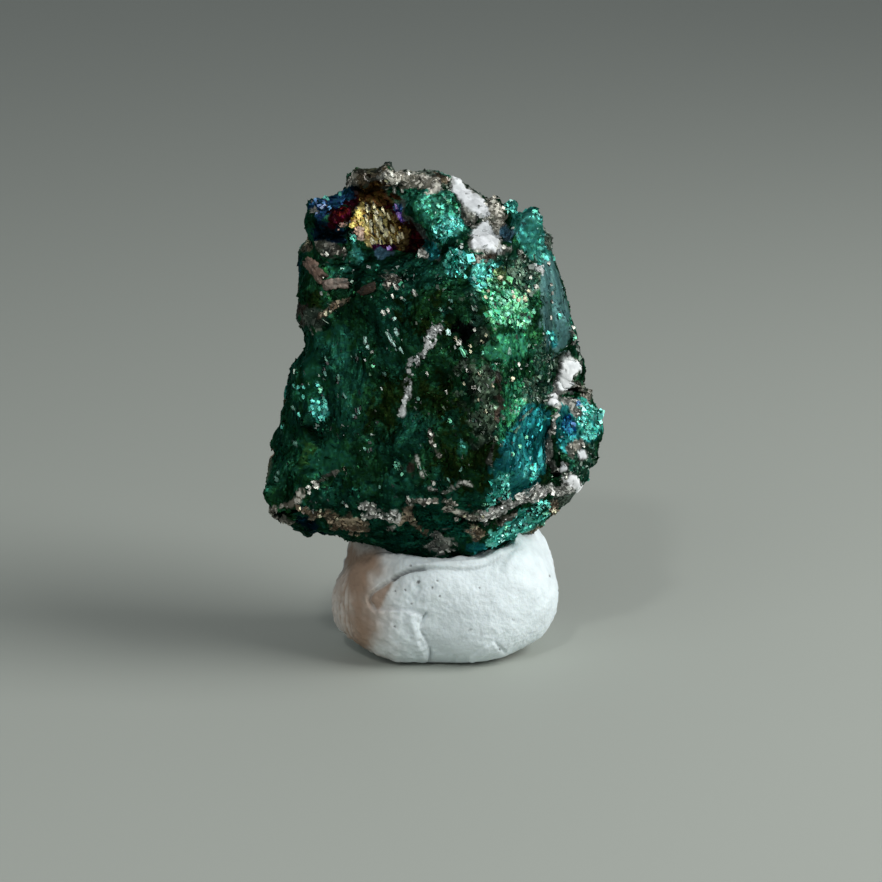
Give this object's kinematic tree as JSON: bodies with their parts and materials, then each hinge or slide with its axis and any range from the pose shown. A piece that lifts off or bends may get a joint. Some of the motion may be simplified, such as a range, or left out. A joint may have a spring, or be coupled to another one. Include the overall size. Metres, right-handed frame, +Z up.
{
  "type": "peacock ore specimen on display tack",
  "caption": "Small broken chunk of iridescent tarnished copper ore with quartz and crystal crust, stood upright in a flat-bottomed blob of white display tack.",
  "frame": {"origin": "middle of the tack's flat underside, on the surface that the specimen stands on", "axes": "+Z up, -Y towards the ore's broad dark front face, +X to the right seen from the front"},
  "size_m": [0.0251, 0.0219, 0.0362],
  "materials": {
    "tarnished_ore": "iridescent green and blue tarnish on broken, glittering metal ore, with white quartz and brown crust",
    "display_tack": "dull kneaded putty"
  },
  "bodies": {
    "root": {"ore": "tarnished_ore", "tack": "display_tack"}
  },
  "joints": []
}
